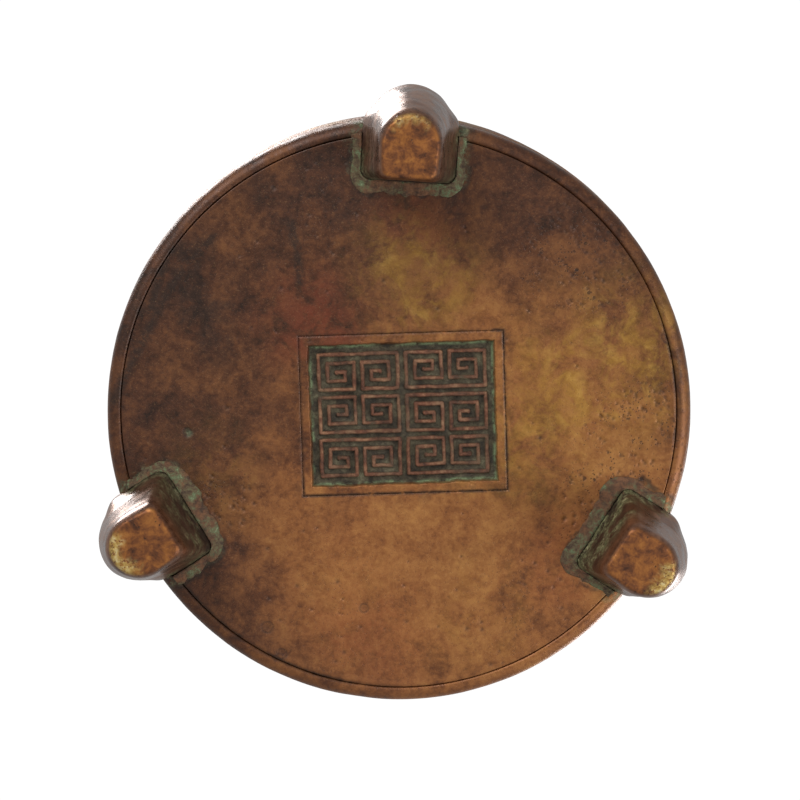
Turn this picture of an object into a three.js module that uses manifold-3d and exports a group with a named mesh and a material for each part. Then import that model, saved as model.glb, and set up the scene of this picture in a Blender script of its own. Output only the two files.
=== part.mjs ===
// Bronze tripod censer: a plain round burner on three short feet.
// Units are millimetres, +Z up. The origin is the middle of the plane the feet
// stand on, below the middle of the body's own box. -Y is the front foot.
import * as THREE from 'three';
import { mergeVertices } from 'three/addons/utils/BufferGeometryUtils.js';
import Module from 'manifold-3d';

const wasm = await Module();
wasm.setup();

// ---- driving dimensions -------------------------------------------------
const GAP = 0.3;            // clearance that every soldered joint keeps
const R_BODY = 65;          // outside radius of the wall at its foot
const R_BORE = 60.4;        // inside radius of the wall
const R_REBATE = 61.6;      // the base disc is let into the wall at this radius
const Z_BASE = 22;          // underside of the base, so the feet's height
const T_BASE = 4;           // thickness of the base disc
const Z_LIP = 88;           // top of the rim
const SEG = 48;             // sides of each turned piece

const TILE_X = 0.95, TILE_Y = 0.3;       // middle of the inset tile
const TILE_TURN = -1.8;                  // degrees, it was let in a little askew
const TILE_W = 45.4, TILE_D = 35.6;      // outline of the inset tile
const POCKET_W = 41.3, POCKET_D = 31.3;  // sunk field in its underside
const POCKET_H = 1.5;                    // depth of the sunk field

const TENON_R = 54.4;       // how far out each foot's tenon stands
const TENON_D = 6;          // tenon diameter
const HEAD_D = 7.6;         // its peened end inside the bowl

// each foot: direction in degrees, how far its knee stands out, its width
// against the rows below, its twist, and the shift of its pad
const FEET = {
  foot_front: { angle: -87.6, knee: 72.6, size: 1.0, twist: 1, pad: [-2.3, 0.1] },
  foot_left: { angle: 154.0, knee: 73.4, size: 1.02, twist: -6, pad: [0.6, 0.2] },
  foot_right: { angle: 30.0, knee: 73.0, size: 1.0, twist: 3, pad: [0.3, 0.5] },
};

// ---- materials ----------------------------------------------------------
const bronze = new THREE.MeshStandardMaterial({ color: 0x7a4c2c, roughness: 0.48, metalness: 0.75 });
const bronzeDark = new THREE.MeshStandardMaterial({ color: 0x4d4030, roughness: 0.62, metalness: 0.6 });
const bronzeFoot = new THREE.MeshStandardMaterial({ color: 0x6b5344, roughness: 0.35, metalness: 0.8 });
const solder = new THREE.MeshStandardMaterial({ color: 0x7f8a5e, roughness: 0.85, metalness: 0.2 });

// ---- helpers ------------------------------------------------------------
function solid(geometry) {
  const g = geometry.clone();
  g.deleteAttribute('normal');
  g.deleteAttribute('uv');
  const m = mergeVertices(g, 1e-4);
  return new wasm.Manifold(new wasm.Mesh({
    numProp: 3,
    vertProperties: new Float32Array(m.attributes.position.array),
    triVerts: new Uint32Array(m.index.array),
  }));
}

function geometryOf(manifold) {
  const mesh = manifold.getMesh();
  const g = new THREE.BufferGeometry();
  g.setAttribute('position', new THREE.BufferAttribute(new Float32Array(mesh.vertProperties), 3));
  g.setIndex(new THREE.BufferAttribute(new Uint32Array(mesh.triVerts), 1));
  g.computeVertexNormals();
  return g;
}

// a closed profile of [radius, height] pairs, turned about Z
function turned(profile, segments = SEG) {
  const pts = profile.map(([r, z]) => new THREE.Vector2(r, z));
  const g = new THREE.LatheGeometry(pts, segments);
  g.rotateX(Math.PI / 2);
  return g;
}

function ring(profile, segments = SEG) {
  return turned([...profile, profile[0]], segments);
}

function block(w, d, h, x, y, z, turn = 0) {
  const g = new THREE.BoxGeometry(w, d, h);
  g.rotateZ(THREE.MathUtils.degToRad(turn));
  g.translate(x, y, z);
  return g;
}

// turn the faces of a geometry round if they point in
function outward(geometry) {
  const p = geometry.attributes.position;
  const idx = geometry.index.array;
  let v = 0;
  const a = new THREE.Vector3(), b = new THREE.Vector3(), c = new THREE.Vector3();
  for (let i = 0; i < idx.length; i += 3) {
    a.fromBufferAttribute(p, idx[i]);
    b.fromBufferAttribute(p, idx[i + 1]);
    c.fromBufferAttribute(p, idx[i + 2]);
    v += a.dot(b.clone().cross(c));
  }
  if (v < 0) for (let i = 0; i < idx.length; i += 3) {
    const t = idx[i + 1];
    idx[i + 1] = idx[i + 2];
    idx[i + 2] = t;
  }
  return geometry;
}

// a closed skin through rings of points, capped at both ends
function loft(rings) {
  const n = rings[0].length;
  const pos = [], idx = [];
  for (const r of rings) for (const q of r) pos.push(...q);
  for (let k = 0; k + 1 < rings.length; k++) for (let i = 0; i < n; i++) {
    const j = (i + 1) % n;
    const a = k * n + i, b = k * n + j, c = (k + 1) * n + i, d = (k + 1) * n + j;
    idx.push(a, b, d, a, d, c);
  }
  for (const [k, flip] of [[0, true], [rings.length - 1, false]]) {
    const mid = pos.length / 3;
    let x = 0, y = 0, z = 0;
    for (const q of rings[k]) { x += q[0] / n; y += q[1] / n; z += q[2] / n; }
    pos.push(x, y, z);
    for (let i = 0; i < n; i++) {
      const j = (i + 1) % n;
      if (flip) idx.push(mid, k * n + j, k * n + i);
      else idx.push(mid, k * n + i, k * n + j);
    }
  }
  const g = new THREE.BufferGeometry();
  g.setAttribute('position', new THREE.BufferAttribute(new Float32Array(pos), 3));
  g.setIndex(new THREE.BufferAttribute(new Uint32Array(idx), 1));
  return outward(g);
}

// ---- the feet -----------------------------------------------------------
// Each row is a height with the inner face, the outer face, the half width of
// the round outside, the half width of the flat inside, and where the round starts.
const ROWS = [
  [0, 54.8, 68.0, 6.0, 5.7, 61.5],
  [1.2, 54.1, 69.0, 6.8, 6.5, 61.5],
  [5, 53.4, 70.4, 7.6, 7.5, 61.8],
  [10, 52.8, 71.6, 8.2, 8.4, 62.2],
  [15, 52.2, 72.6, 8.8, 9.3, 62.6],
  [19, 51.6, 73.1, 9.2, 10.1, 62.9],
  [23, 51.2, 73.3, 9.4, 10.5, 63.0],
  [27, 51.2, 72.6, 9.3, 10.5, 63.0],
  [31, 51.2, 70.8, 8.7, 9.6, 63.0],
  [35, 51.2, 68.2, 7.4, 8.2, 62.0],
  [38.5, 51.2, 65.8, 5.4, 6.4, 61.0],
];

// D-shaped outline: flat towards the middle of the bowl, round outside, and
// flared where it runs into the wall
function footOutline([z, inner, outer, w0, w1, m], grow = 0) {
  const a = inner - grow, b = outer + grow, wo = w0 + grow, wi = w1 + grow;
  const c = 2.1 + grow;                          // round of the inner corners
  const flare = 1.2 * Math.min(1, Math.max(0, (z - 15) / 6));
  const pts = [];
  for (let i = 0; i <= 3; i++) {                 // one inner corner
    const t = Math.PI + (Math.PI / 2) * (i / 3);
    pts.push([a + c + c * Math.cos(t), -wi + c + c * Math.sin(t)]);
  }
  for (let i = 0; i <= 14; i++) {                // the round outside
    const t = -Math.PI / 2 + Math.PI * (i / 14);
    const u = m + (b - m) * Math.cos(t);
    const k = Math.min(1, Math.max(0, (68.5 - u) / 4));
    pts.push([u, wo * Math.sin(t) + Math.sign(Math.sin(t)) * flare * k * k]);
  }
  for (let i = 0; i <= 3; i++) {                 // the other inner corner
    const t = Math.PI / 2 + (Math.PI / 2) * (i / 3);
    pts.push([a + c + c * Math.cos(t), wi - c + c * Math.sin(t)]);
  }
  return pts;
}

function footRings(f, rows, grow = 0) {
  const ca = Math.cos(THREE.MathUtils.degToRad(f.angle));
  const sa = Math.sin(THREE.MathUtils.degToRad(f.angle));
  return rows.map(([z, inner, outer, w0, w1, m]) => {
    const k = Math.max(0, 1 - z / Z_BASE);       // 1 at the pad, 0 at the root
    const reach = outer + (f.knee - 73.3) * Math.min(1, Math.max(0, z / 19));
    const tw = THREE.MathUtils.degToRad(f.twist);
    const mid = (inner + reach) / 2;
    return footOutline([z, inner, reach, w0 * f.size, w1 * f.size, m], grow).map(([u, v]) => {
      const du = u - mid;
      const uu = mid + du * Math.cos(tw) - v * Math.sin(tw) + f.pad[0] * k;
      const vv = du * Math.sin(tw) + v * Math.cos(tw) + f.pad[1] * k;
      return [uu * ca - vv * sa, uu * sa + vv * ca, z];
    });
  });
}

// everything the feet must stay clear of: the wall and the base, with a gap
const bodyEnvelope = solid(turned([
  [0, Z_BASE - GAP], [R_BODY - 2.8, Z_BASE - GAP], [R_BODY - 1.3, Z_BASE + 0.2],
  [R_BODY - 0.1, Z_BASE + 1.4], [R_BODY + GAP, Z_BASE + 3],
  [R_BODY + GAP, Z_LIP], [0, Z_LIP],
]));

function tenon(f) {
  const r = TENON_D / 2, h = HEAD_D / 2, t = Z_BASE + T_BASE + GAP;
  const g = turned([
    [0, Z_BASE - 4], [r, Z_BASE - 4], [r, t], [h, t], [h, t + 0.5], [h - 1, t + 1.1], [0, t + 1.3],
  ], 16);
  const a = THREE.MathUtils.degToRad(f.angle);
  g.translate(TENON_R * Math.cos(a), TENON_R * Math.sin(a), 0);
  return solid(g);
}

function tenonHole(f) {
  const r = TENON_D / 2 + GAP;
  const g = turned([[0, Z_BASE - 1], [r, Z_BASE - 1], [r, Z_BASE + T_BASE + 1], [0, Z_BASE + T_BASE + 1]], 16);
  const a = THREE.MathUtils.degToRad(f.angle);
  g.translate(TENON_R * Math.cos(a), TENON_R * Math.sin(a), 0);
  return solid(g);
}

function footSolid(f) {
  return solid(loft(footRings(f, ROWS))).subtract(bodyEnvelope).add(tenon(f));
}

// the solder that ran round the foot's root, on the underside of the base
const ROOT = [22, 51.3, 73.3, 9.4, 10.5, 63.0];
function solderSolid(f) {
  const at = (ring, z) => ring.map(([x, y]) => [x, y, z]);
  const fat = footRings(f, [ROOT], 1.6)[0];
  const slim = footRings(f, [ROOT], 0.45)[0];
  const clear = footRings(f, [ROOT], GAP)[0];
  const bead = solid(loft([at(slim, 20.2), at(fat, Z_BASE - GAP)]));
  const hole = solid(loft([at(clear, 15), at(clear, 30)]));
  const under = solid(turned([[0, 10], [61.2, 10], [61.2, 40], [0, 40]], SEG));
  return bead.subtract(hole).intersect(under);
}

// ---- the wall, the base and what is let into it ---------------------------
const wall = ring([
  [R_REBATE, Z_BASE], [R_BODY - 2.6, Z_BASE], [R_BODY - 1.2, Z_BASE + 0.5],
  [R_BODY - 0.3, Z_BASE + 1.5], [R_BODY, Z_BASE + 3],
  [R_BODY - 0.4, 40], [R_BODY + 0.3, 40.8], [R_BODY + 0.3, 42.2], [R_BODY - 0.5, 43],
  [R_BODY - 0.8, 56], [R_BODY - 0.9, 70], [R_BODY - 0.2, 70.8], [R_BODY - 0.2, 72.2], [R_BODY - 0.9, 73],
  [R_BODY - 0.9, 80], [R_BODY + 0.1, 81.6], [R_BODY + 0.5, 84.2], [R_BODY + 0.1, 86.8], [R_BODY - 1.2, Z_LIP],
  [R_BORE + 1.2, Z_LIP], [R_BORE + 0.2, Z_LIP - 1.4], [R_BORE, Z_LIP - 4],
  [R_BORE, Z_BASE + T_BASE + GAP], [R_REBATE, Z_BASE + T_BASE + GAP],
]);

const windowCut = solid(block(TILE_W + 2 * GAP, TILE_D + 2 * GAP, T_BASE + 4, TILE_X, TILE_Y, Z_BASE + T_BASE / 2, TILE_TURN));
let disc = solid(turned([
  [0, Z_BASE], [R_REBATE - GAP, Z_BASE], [R_REBATE - GAP, Z_BASE + T_BASE], [0, Z_BASE + T_BASE],
])).subtract(windowCut);
for (const f of Object.values(FEET)) disc = disc.subtract(tenonHole(f));

const tile = solid(block(TILE_W, TILE_D, T_BASE, TILE_X, TILE_Y, Z_BASE + T_BASE / 2, TILE_TURN))
  .subtract(solid(block(POCKET_W, POCKET_D, 2 * POCKET_H, TILE_X, TILE_Y - 0.2, Z_BASE, TILE_TURN)));

// the bead of solder inside the bowl, in the corner of wall and base
const Z_IN = Z_BASE + T_BASE + GAP;
const seamBead = ring([
  [R_BORE - GAP, Z_IN], [R_BORE - GAP, Z_IN + 1.6], [R_BORE - 0.8, Z_IN + 0.7], [R_BORE - 1.5, Z_IN],
]);

// the frame of solder inside the bowl, over the joint round the tile
const tileBead = solid(block(TILE_W + 3.4, TILE_D + 3.4, 0.8, TILE_X, TILE_Y, Z_IN + 0.4, TILE_TURN))
  .subtract(solid(block(TILE_W - 3, TILE_D - 3, 4, TILE_X, TILE_Y, Z_IN + 0.4, TILE_TURN)));

// ---- the assembly ---------------------------------------------------------
const censer = new THREE.Group();
function piece(name, geometry, material) {
  const mesh = new THREE.Mesh(geometry, material);
  mesh.name = name;
  censer.add(mesh);
}

piece('wall_shell', geometryOf(solid(wall)), bronze);
piece('base_plate', geometryOf(disc), bronze);
piece('inset_panel', geometryOf(tile), bronzeDark);
for (const [name, f] of Object.entries(FEET)) {
  piece(name, geometryOf(footSolid(f)), bronzeFoot);
  piece(`${name}_solder`, geometryOf(solderSolid(f)), solder);
}
piece('base_seam_solder', geometryOf(solid(seamBead)), solder);
piece('panel_solder', geometryOf(tileBead), solder);

// the origin goes below the middle of the whole piece, feet included
const whole = new THREE.Box3().setFromObject(censer);
censer.position.set(-(whole.min.x + whole.max.x) / 2, -(whole.min.y + whole.max.y) / 2, 0);

export default censer;
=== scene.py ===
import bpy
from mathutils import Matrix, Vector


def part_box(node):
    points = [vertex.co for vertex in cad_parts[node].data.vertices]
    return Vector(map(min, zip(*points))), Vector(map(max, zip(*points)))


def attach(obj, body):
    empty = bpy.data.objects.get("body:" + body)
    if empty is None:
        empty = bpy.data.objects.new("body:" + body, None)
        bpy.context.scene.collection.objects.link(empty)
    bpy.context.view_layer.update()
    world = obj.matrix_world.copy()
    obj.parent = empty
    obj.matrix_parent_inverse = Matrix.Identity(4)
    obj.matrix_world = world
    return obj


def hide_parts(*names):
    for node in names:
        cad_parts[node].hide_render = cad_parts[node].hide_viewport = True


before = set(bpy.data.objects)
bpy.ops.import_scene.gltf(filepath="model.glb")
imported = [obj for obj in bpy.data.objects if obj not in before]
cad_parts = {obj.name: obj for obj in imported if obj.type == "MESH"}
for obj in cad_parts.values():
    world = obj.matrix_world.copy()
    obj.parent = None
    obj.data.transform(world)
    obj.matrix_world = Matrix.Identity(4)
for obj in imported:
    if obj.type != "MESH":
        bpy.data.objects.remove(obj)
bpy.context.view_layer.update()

import math
import bpy
import numpy as np
from mathutils import Matrix, Vector

# ---------------------------------------------------------------- where the bowl stands
lo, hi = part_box("wall_shell")
CX = (lo[0] + hi[0]) / 2          # metres: the bowl's axis
CY = (lo[1] + hi[1]) / 2

R_BODY, R_BORE, R_REBATE = 65.0, 60.4, 61.6
Z_BASE, T_BASE, Z_LIP = 22.0, 4.0, 88.0
TILE = dict(x=0.95, y=0.3, turn=-1.8, w=45.4, d=35.6, pw=41.3, pd=31.3, h=1.5)
FEET = {
    "foot_front": dict(angle=-87.6, knee=72.6, size=1.0, twist=1, pad=(-2.3, 0.1)),
    "foot_left": dict(angle=154.0, knee=73.4, size=1.02, twist=-6, pad=(0.6, 0.2)),
    "foot_right": dict(angle=30.0, knee=73.0, size=1.0, twist=3, pad=(0.3, 0.5)),
}
# height, inner face, outer face, half width outside, half width inside, where the round starts
ROWS = np.array([
    [0, 54.8, 68.0, 6.0, 5.7, 61.5], [1.2, 54.1, 69.0, 6.8, 6.5, 61.5], [5, 53.4, 70.4, 7.6, 7.5, 61.8],
    [10, 52.8, 71.6, 8.2, 8.4, 62.2], [15, 52.2, 72.6, 8.8, 9.3, 62.6], [19, 51.6, 73.1, 9.2, 10.1, 62.9],
    [23, 51.2, 73.3, 9.4, 10.5, 63.0], [27, 51.2, 72.6, 9.3, 10.5, 63.0], [31, 51.2, 70.8, 8.7, 9.6, 63.0],
    [35, 51.2, 68.2, 7.4, 8.2, 62.0], [38.5, 51.2, 65.8, 5.4, 6.4, 61.0]])


# ---------------------------------------------------------------- the camera
def camera():
    tilt = math.radians(5.0)
    dist = 0.8
    aim = Vector((CX + 0.00025, CY - 0.00269, Z_BASE / 1000))
    d = Vector((0, math.sin(tilt), math.cos(tilt)))
    y = Vector((0, -math.cos(tilt), math.sin(tilt)))
    z = -d
    x = y.cross(z)
    m = Matrix((x, y, z)).transposed().to_4x4()
    m.translation = aim - d * dist
    cam = bpy.data.cameras.new("camera")
    cam.sensor_width = 36
    cam.lens = 4.51 * 0.045 * 800
    cam.clip_start, cam.clip_end = 0.01, 20
    ob = bpy.data.objects.new("camera", cam)
    ob.matrix_world = m
    bpy.context.scene.collection.objects.link(ob)
    bpy.context.scene.camera = ob


camera()


# ---------------------------------------------------------------- noise on arrays of points
def _hash(i, j, k, seed):
    h = (i * 374761393 + j * 668265263 + k * 2147483647 + seed * 1274126177) & 0xFFFFFFFF
    h = ((h ^ (h >> 13)) * 1274126177) & 0xFFFFFFFF
    return ((h ^ (h >> 16)) & 0xFFFF) / 65535.0


def vnoise(p, seed=0):
    p = np.asarray(p, dtype=np.float64)
    f = np.floor(p)
    i = f.astype(np.int64)
    t = p - f
    t = t * t * (3 - 2 * t)
    out = 0
    for dx in (0, 1):
        for dy in (0, 1):
            for dz in (0, 1):
                w = (t[:, 0] if dx else 1 - t[:, 0]) * (t[:, 1] if dy else 1 - t[:, 1]) * (t[:, 2] if dz else 1 - t[:, 2])
                out = out + w * _hash(i[:, 0] + dx, i[:, 1] + dy, i[:, 2] + dz, seed)
    return out * 2 - 1


def fbm(p, scale, octaves=4, seed=0):
    out, amp, tot = 0, 1.0, 0
    q = np.asarray(p) * scale
    for o in range(octaves):
        out = out + amp * vnoise(q, seed + o)
        tot += amp
        amp *= 0.5
        q = q * 2.03 + 17.1
    return out / tot


def sstep(a, b, x):
    t = np.clip((x - a) / (b - a), 0, 1)
    return t * t * (3 - 2 * t)


def make(name, verts_mm, faces, smooth=True, material=None):
    v = np.asarray(verts_mm, dtype=np.float64) / 1000
    v = v + np.array([CX, CY, 0])
    me = bpy.data.meshes.new(name)
    me.from_pydata(v.tolist(), [], [list(map(int, f)) for f in faces])
    me.validate()
    me.update()
    if smooth:
        me.polygons.foreach_set("use_smooth", [True] * len(me.polygons))
    ob = bpy.data.objects.new(name, me)
    bpy.context.scene.collection.objects.link(ob)
    if material:
        me.materials.append(material)
    fix_normals(ob)
    return ob


def fix_normals(ob):
    import bmesh
    bm = bmesh.new()
    bm.from_mesh(ob.data)
    bmesh.ops.recalc_face_normals(bm, faces=bm.faces)
    bm.to_mesh(ob.data)
    bm.free()


def grid_faces(rows, cols, wrap_c=True, wrap_r=False, base=0):
    f = []
    for r in range(rows if wrap_r else rows - 1):
        r2 = (r + 1) % rows
        for c in range(cols if wrap_c else cols - 1):
            c2 = (c + 1) % cols
            f.append((base + r * cols + c, base + r * cols + c2, base + r2 * cols + c2, base + r2 * cols + c))
    return f


# ---------------------------------------------------------------- materials
class Tree:
    def __init__(self, name):
        self.mat = bpy.data.materials.new(name)
        self.mat.use_nodes = True
        self.nt = self.mat.node_tree
        self.nt.nodes.clear()
        self.out = self.nt.nodes.new("ShaderNodeOutputMaterial")
        self.bsdf = self.nt.nodes.new("ShaderNodeBsdfPrincipled")
        self.nt.links.new(self.bsdf.outputs[0], self.out.inputs["Surface"])
        self.co = self.nt.nodes.new("ShaderNodeTexCoord").outputs["Object"]

    def node(self, kind, **kw):
        n = self.nt.nodes.new(kind)
        for k, v in kw.items():
            setattr(n, k, v)
        return n

    def link(self, a, b):
        self.nt.links.new(a, b)

    def noise(self, scale, detail=4, rough=0.55, dist=0.0, vec=None, lac=2.0):
        n = self.node("ShaderNodeTexNoise")
        n.inputs["Scale"].default_value = scale
        n.inputs["Detail"].default_value = detail
        n.inputs["Roughness"].default_value = rough
        n.inputs["Distortion"].default_value = dist
        self.link(vec or self.co, n.inputs["Vector"])
        return n.outputs["Fac"]

    def voronoi(self, scale, feature="F1", vec=None):
        n = self.node("ShaderNodeTexVoronoi", feature=feature)
        n.inputs["Scale"].default_value = scale
        self.link(vec or self.co, n.inputs["Vector"])
        return n.outputs["Distance"]

    def ramp(self, fac, stops):
        n = self.node("ShaderNodeValToRGB")
        el = n.color_ramp.elements
        while len(el) < len(stops):
            el.new(0.5)
        for e, (p, c) in zip(el, stops):
            e.position = p
            e.color = (*c, 1) if len(c) == 3 else c
        self.link(fac, n.inputs["Fac"])
        return n.outputs["Color"]

    def span(self, v, a, b, x=0.0, y=1.0):
        n = self.node("ShaderNodeMapRange")
        n.interpolation_type = "SMOOTHSTEP"
        n.inputs["From Min"].default_value = a
        n.inputs["From Max"].default_value = b
        n.inputs["To Min"].default_value = x
        n.inputs["To Max"].default_value = y
        self.link(v, n.inputs["Value"])
        return n.outputs["Result"]

    def math(self, op, a, b=None):
        n = self.node("ShaderNodeMath", operation=op)
        for s, v in ((0, a), (1, b)):
            if v is None:
                continue
            if isinstance(v, (int, float)):
                n.inputs[s].default_value = v
            else:
                self.link(v, n.inputs[s])
        return n.outputs[0]

    def mix(self, fac, a, b, blend="MIX"):
        n = self.node("ShaderNodeMix", data_type="RGBA", blend_type=blend)
        if isinstance(fac, (int, float)):
            n.inputs[0].default_value = fac
        else:
            self.link(fac, n.inputs[0])
        for s, v in ((6, a), (7, b)):
            if isinstance(v, tuple):
                n.inputs[s].default_value = (*v, 1)
            else:
                self.link(v, n.inputs[s])
        return n.outputs[2]

    def near(self, x, y, r, z=None, soft=1.0):
        """1 near the point (mm on the base, from the bowl's axis), 0 past r mm"""
        n = self.node("ShaderNodeVectorMath", operation="DISTANCE")
        if z is None:
            flat = self.node("ShaderNodeVectorMath", operation="MULTIPLY")
            self.link(self.co, flat.inputs[0])
            flat.inputs[1].default_value = (1, 1, 0)
            self.link(flat.outputs[0], n.inputs[0])
            n.inputs[1].default_value = (CX + x / 1000, CY + y / 1000, 0)
        else:
            self.link(self.co, n.inputs[0])
            n.inputs[1].default_value = (CX + x / 1000, CY + y / 1000, z / 1000)
        return self.span(n.outputs["Value"], r / 1000 * (1 - soft), r / 1000, 1, 0)

    def bump(self, height, strength, dist):
        n = self.node("ShaderNodeBump")
        n.inputs["Strength"].default_value = strength
        n.inputs["Distance"].default_value = dist
        self.link(height, n.inputs["Height"])
        self.link(n.outputs[0], self.bsdf.inputs["Normal"])

    def xyz(self):
        n = self.node("ShaderNodeSeparateXYZ")
        self.link(self.co, n.inputs[0])
        return n.outputs


def srgb(h, k=0.62):
    h = h.lstrip("#")
    c = [int(h[i:i + 2], 16) / 255 for i in (0, 2, 4)]
    return tuple(k * (v / 12.92 if v <= 0.04045 else ((v + 0.055) / 1.055) ** 2.4) for v in c)


def attr(t, name):
    return t.node("ShaderNodeAttribute", attribute_name=name).outputs["Fac"]


def put(ob, **arrays):
    """writes one float per point of a mesh under each name"""
    for name, v in arrays.items():
        at = ob.data.attributes.new(name, "FLOAT", "POINT")
        at.data.foreach_set("value", np.asarray(v, dtype=np.float32))


def body_material():
    """the body's brown patina; the broad regions come with the mesh, the mottling and grain from here; the mesh's
    tone also paints light and shade
    """
    t = Tree("bronze_body")
    big = t.noise(42, 5, 0.62, 0.4)
    med = t.noise(170, 6, 0.68, 0.5)
    fine = t.noise(750, 5, 0.72, 0.2)
    grain = t.noise(2400, 3, 0.75)
    f = t.math("ADD", t.math("MULTIPLY", big, 0.34), t.math("MULTIPLY", med, 0.38))
    f = t.math("ADD", f, t.math("MULTIPLY", fine, 0.28))
    f = t.math("ADD", f, t.math("MULTIPLY", t.math("SUBTRACT", attr(t, "tone_and_painted_light"), 0.6), 0.16))
    col = t.ramp(f, [(0.34, srgb("#3a2110")), (0.45, srgb("#70401f")), (0.55, srgb("#9a602f")), (0.68, srgb("#b57d40"))])
    goldcol = t.ramp(t.noise(210, 6, 0.7, 0.6), [(0.32, srgb("#8a5a22")), (0.5, srgb("#b0802f")), (0.68, srgb("#cfa04a"))])
    gm = t.math("MULTIPLY", attr(t, "gold"), t.span(t.noise(120, 7, 0.72, 0.8), 0.36, 0.62))
    col = t.mix(gm, col, goldcol)
    col = t.mix(t.math("MULTIPLY", attr(t, "red"), t.span(med, 0.35, 0.62)), col, srgb("#93421f"))
    # the tone darkens as well as shifting the mottling: painted light and shade from the mesh (a pool of light on the
    # underside, shade inside the bowl), with random mottling
    dk = t.node("ShaderNodeMix", data_type="RGBA", blend_type="MULTIPLY")
    dk.inputs[0].default_value = 1.0
    t.link(col, dk.inputs[6])
    t.link(t.ramp(attr(t, "tone_and_painted_light"), [(0.0, (0.40, 0.36, 0.36)), (0.5, (0.68, 0.66, 0.66)), (1.0, (1.06, 1.04, 1.0))]), dk.inputs[7])
    col = dk.outputs[2]
    # fine dark pits, in clusters
    vor = t.voronoi(640)
    vor2 = t.voronoi(1250)
    clump = attr(t, "clump")
    gate = t.span(t.noise(420, 4, 0.65), 0.42, 0.56)
    pit = t.math("MULTIPLY", t.math("MULTIPLY", t.span(vor, 0.20, 0.36, 1, 0), clump), gate)
    pit2 = t.math("MULTIPLY", t.span(vor2, 0.16, 0.30, 1, 0), t.math("ADD", t.math("MULTIPLY", clump, 0.7), 0.16))
    pits = t.math("MAXIMUM", t.math("MAXIMUM", pit, pit2), attr(t, "pit"))
    pits = t.math("MINIMUM", pits, 1.0)
    col = t.mix(t.math("MULTIPLY", pits, 0.8), col, srgb("#1c110a"))
    st = t.math("MULTIPLY", attr(t, "stain"), t.span(t.noise(520, 5, 0.7), 0.30, 0.52))
    col = t.mix(t.math("MULTIPLY", st, 0.85), col, srgb("#2a1a10"))
    col = t.mix(t.math("MULTIPLY", t.span(grain, 0.56, 0.74), 0.22), col, srgb("#c79a66"))
    # verdigris
    vn = t.noise(620, 6, 0.75)
    vg = t.math("MULTIPLY", attr(t, "green"), t.span(vn, 0.40, 0.60))
    vcol = t.ramp(t.noise(900, 4, 0.7), [(0.35, srgb("#3c4a34")), (0.5, srgb("#66785a")), (0.66, srgb("#a3b089"))])
    col = t.mix(t.math("MINIMUM", vg, 1.0), col, vcol)
    # the sunk field
    g1 = t.noise(330, 7, 0.75, 0.3)
    ground = t.ramp(g1, [(0.33, srgb("#241f17")), (0.47, srgb("#463d2e")), (0.60, srgb("#655c46")), (0.74, srgb("#8d8a6c"))])
    warm = t.ramp(t.noise(420, 6, 0.7), [(0.32, srgb("#4e2e20")), (0.5, srgb("#84533b")), (0.68, srgb("#b08462"))])
    fieldc = t.mix(t.math("MULTIPLY", attr(t, "raised"), t.span(t.noise(300, 5, 0.7), 0.22, 0.46)), ground, warm)
    eg = t.math("MULTIPLY", attr(t, "lip"), t.span(t.noise(500, 6, 0.75), 0.36, 0.58))
    fieldc = t.mix(eg, fieldc, srgb("#8b9d74"))
    col = t.mix(attr(t, "field"), col, fieldc)
    t.link(col, t.bsdf.inputs["Base Color"])
    rg = t.span(t.math("ADD", t.math("MULTIPLY", med, 0.55), t.math("MULTIPLY", fine, 0.45)), 0.36, 0.66, 0.36, 0.60)
    rg = t.math("ADD", rg, t.math("MULTIPLY", t.math("MAXIMUM", pits, t.math("MAXIMUM", vg, attr(t, "field"))), 0.28))
    t.link(t.math("MINIMUM", rg, 1.0), t.bsdf.inputs["Roughness"])
    t.bsdf.inputs["Metallic"].default_value = 0.45
    h = t.math("ADD", t.math("MULTIPLY", fine, 0.55), t.math("MULTIPLY", grain, 0.35))
    h = t.math("ADD", h, t.math("MULTIPLY", med, 0.7))
    h = t.math("SUBTRACT", h, t.math("MULTIPLY", pits, 0.8))
    t.bump(h, 0.5, 0.00025)
    return t.mat


MAT_BODY = body_material()


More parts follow.
